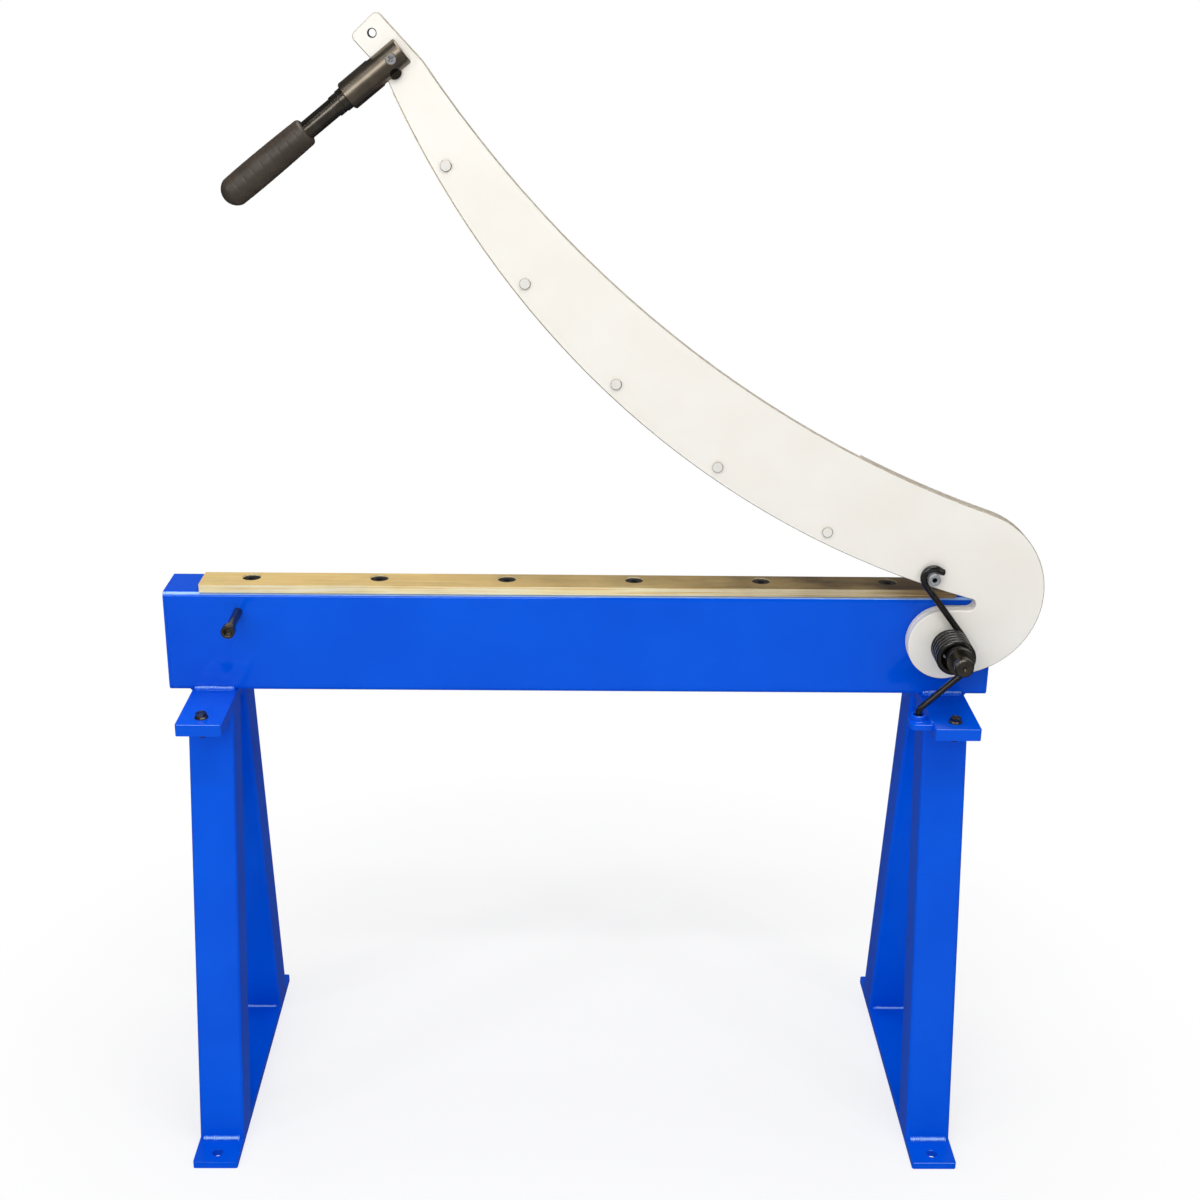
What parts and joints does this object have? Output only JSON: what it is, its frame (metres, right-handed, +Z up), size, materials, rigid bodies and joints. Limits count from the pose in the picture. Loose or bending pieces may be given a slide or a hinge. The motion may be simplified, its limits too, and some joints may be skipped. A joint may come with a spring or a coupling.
{
  "type": "guillotine shear",
  "caption": "Hand guillotine shear: tube bed with a straight lower blade on two bolted A-frame stands, and a spring-lifted curved arm with the upper blade and a handle.",
  "frame": {"origin": "on the floor, midway between the four floor bolt holes of the two stands", "axes": "+X along the bed towards the pivot, +Y from the side that the arm swings on (the side shown) to the far side, +Z up"},
  "size_m": [1.157, 0.462, 1.486],
  "materials": {
    "blue_paint": "gloss",
    "white_paint": "satin",
    "blade_steel": "ground, straw coloured",
    "black_oxide": "black oxide",
    "spring_black": "gloss",
    "zinc_steel": "zinc plated",
    "plain_steel": "plain",
    "bronze": "machined",
    "grip_rubber": "matt"
  },
  "bodies": {
    "root": {"beam_end_cap_left": "blue_paint", "beam_end_cap_right": "blue_paint", "bed_beam": "blue_paint", "blade_backing_bar": "plain_steel", "collar_set_screw": "black_oxide", "foot_plate_left": "blue_paint", "foot_plate_right": "blue_paint", "lift_spring": "spring_black", "lower_blade": "blade_steel", "lower_blade_screws": "black_oxide", "pivot_nut": "black_oxide", "pivot_shaft": "black_oxide", "pivot_tube": "blue_paint", "pivot_washer": "black_oxide", "spring_collar": "black_oxide", "spring_eyelet": "blue_paint", "spring_sleeve": "black_oxide", "stand_bolts": "black_oxide", "stand_left_base_plate": "blue_paint", "stand_left_far_leg": "blue_paint", "stand_left_near_leg": "blue_paint", "stand_left_top_plate": "blue_paint", "stand_nuts": "black_oxide", "stand_right_base_plate": "blue_paint", "stand_right_far_leg": "blue_paint", "stand_right_near_leg": "blue_paint", "stand_right_top_plate": "blue_paint", "stand_washers": "black_oxide", "stop_bolt": "black_oxide", "stop_bolt_nut": "black_oxide", "thrust_washer": "plain_steel"},
    "arm": {"arm_plate": "white_paint", "arm_backing_plate": "white_paint", "arm_bush": "bronze", "upper_blade": "blade_steel", "upper_blade_screws": "white_paint", "hook_bolt": "zinc_steel", "handle_socket": "black_oxide", "handle_screw": "black_oxide", "handle_nut": "black_oxide", "handle_rod": "black_oxide", "handle_ferrule": "black_oxide", "handle_grip": "grip_rubber"}
  },
  "joints": [
    {"name": "arm_swing", "type": "hinge", "parent": "root", "child": "arm", "pos_m": [0.489, -0.0513, 0.706], "axis": [0, -1, 0], "range_deg": [0, 40.6], "stiffness_Nm_per_rad": 60, "springref_deg": -57.3, "deforming": ["lift_spring"]}
  ]
}
